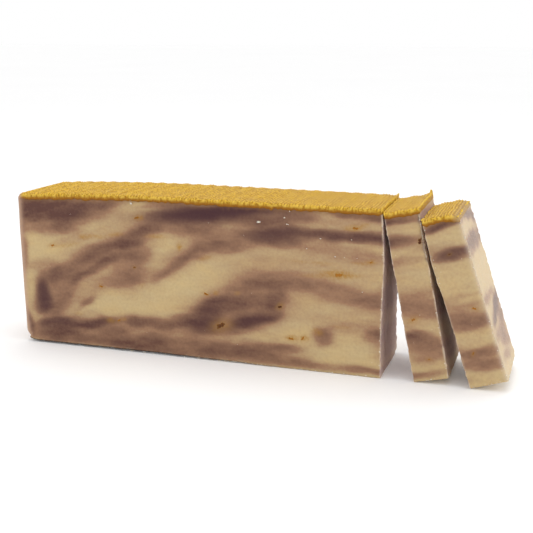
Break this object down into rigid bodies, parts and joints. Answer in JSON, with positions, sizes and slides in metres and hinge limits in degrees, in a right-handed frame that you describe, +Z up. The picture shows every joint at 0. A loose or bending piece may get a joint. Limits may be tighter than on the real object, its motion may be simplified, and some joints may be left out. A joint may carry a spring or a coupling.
{
  "type": "soap loaf",
  "caption": "Swirled bar-soap loaf with a combed coloured top layer and set-in petal flecks, partly cut; loose cut slices lean on its cut end and lift away.",
  "frame": {"origin": "middle of the loaf's base, half way between its two feet edges and half way along its uncut length", "axes": "+X along the loaf to its cut end and the slices, +Y to the rear, +Z up"},
  "size_m": [0.2909, 0.0492, 0.0965],
  "materials": {
    "swirled_soap": "waxy satin, cream swirled with mauve-brown",
    "top_soap": "waxy, combed, mustard",
    "petal_fleck": "dry, dull, orange-brown"
  },
  "bodies": {
    "loaf": {"loaf_body": "swirled_soap", "loaf_top_layer": "top_soap", "loaf_flecks": "petal_fleck"},
    "slice_1": {"slice_1_body": "swirled_soap", "slice_1_top_layer": "top_soap", "slice_1_flecks": "petal_fleck"},
    "slice_2": {"slice_2_body": "swirled_soap", "slice_2_top_layer": "top_soap", "slice_2_flecks": "petal_fleck"}
  },
  "joints": [
    {"name": "slice_1_lift", "type": "slide", "parent": "loaf", "child": "slice_1", "axis": [-0.2045, 0, 0.9789], "range_m": [0, 0.11]},
    {"name": "slice_2_lift", "type": "slide", "parent": "loaf", "child": "slice_2", "axis": [0, 0, 1], "range_m": [0, 0.11]}
  ]
}
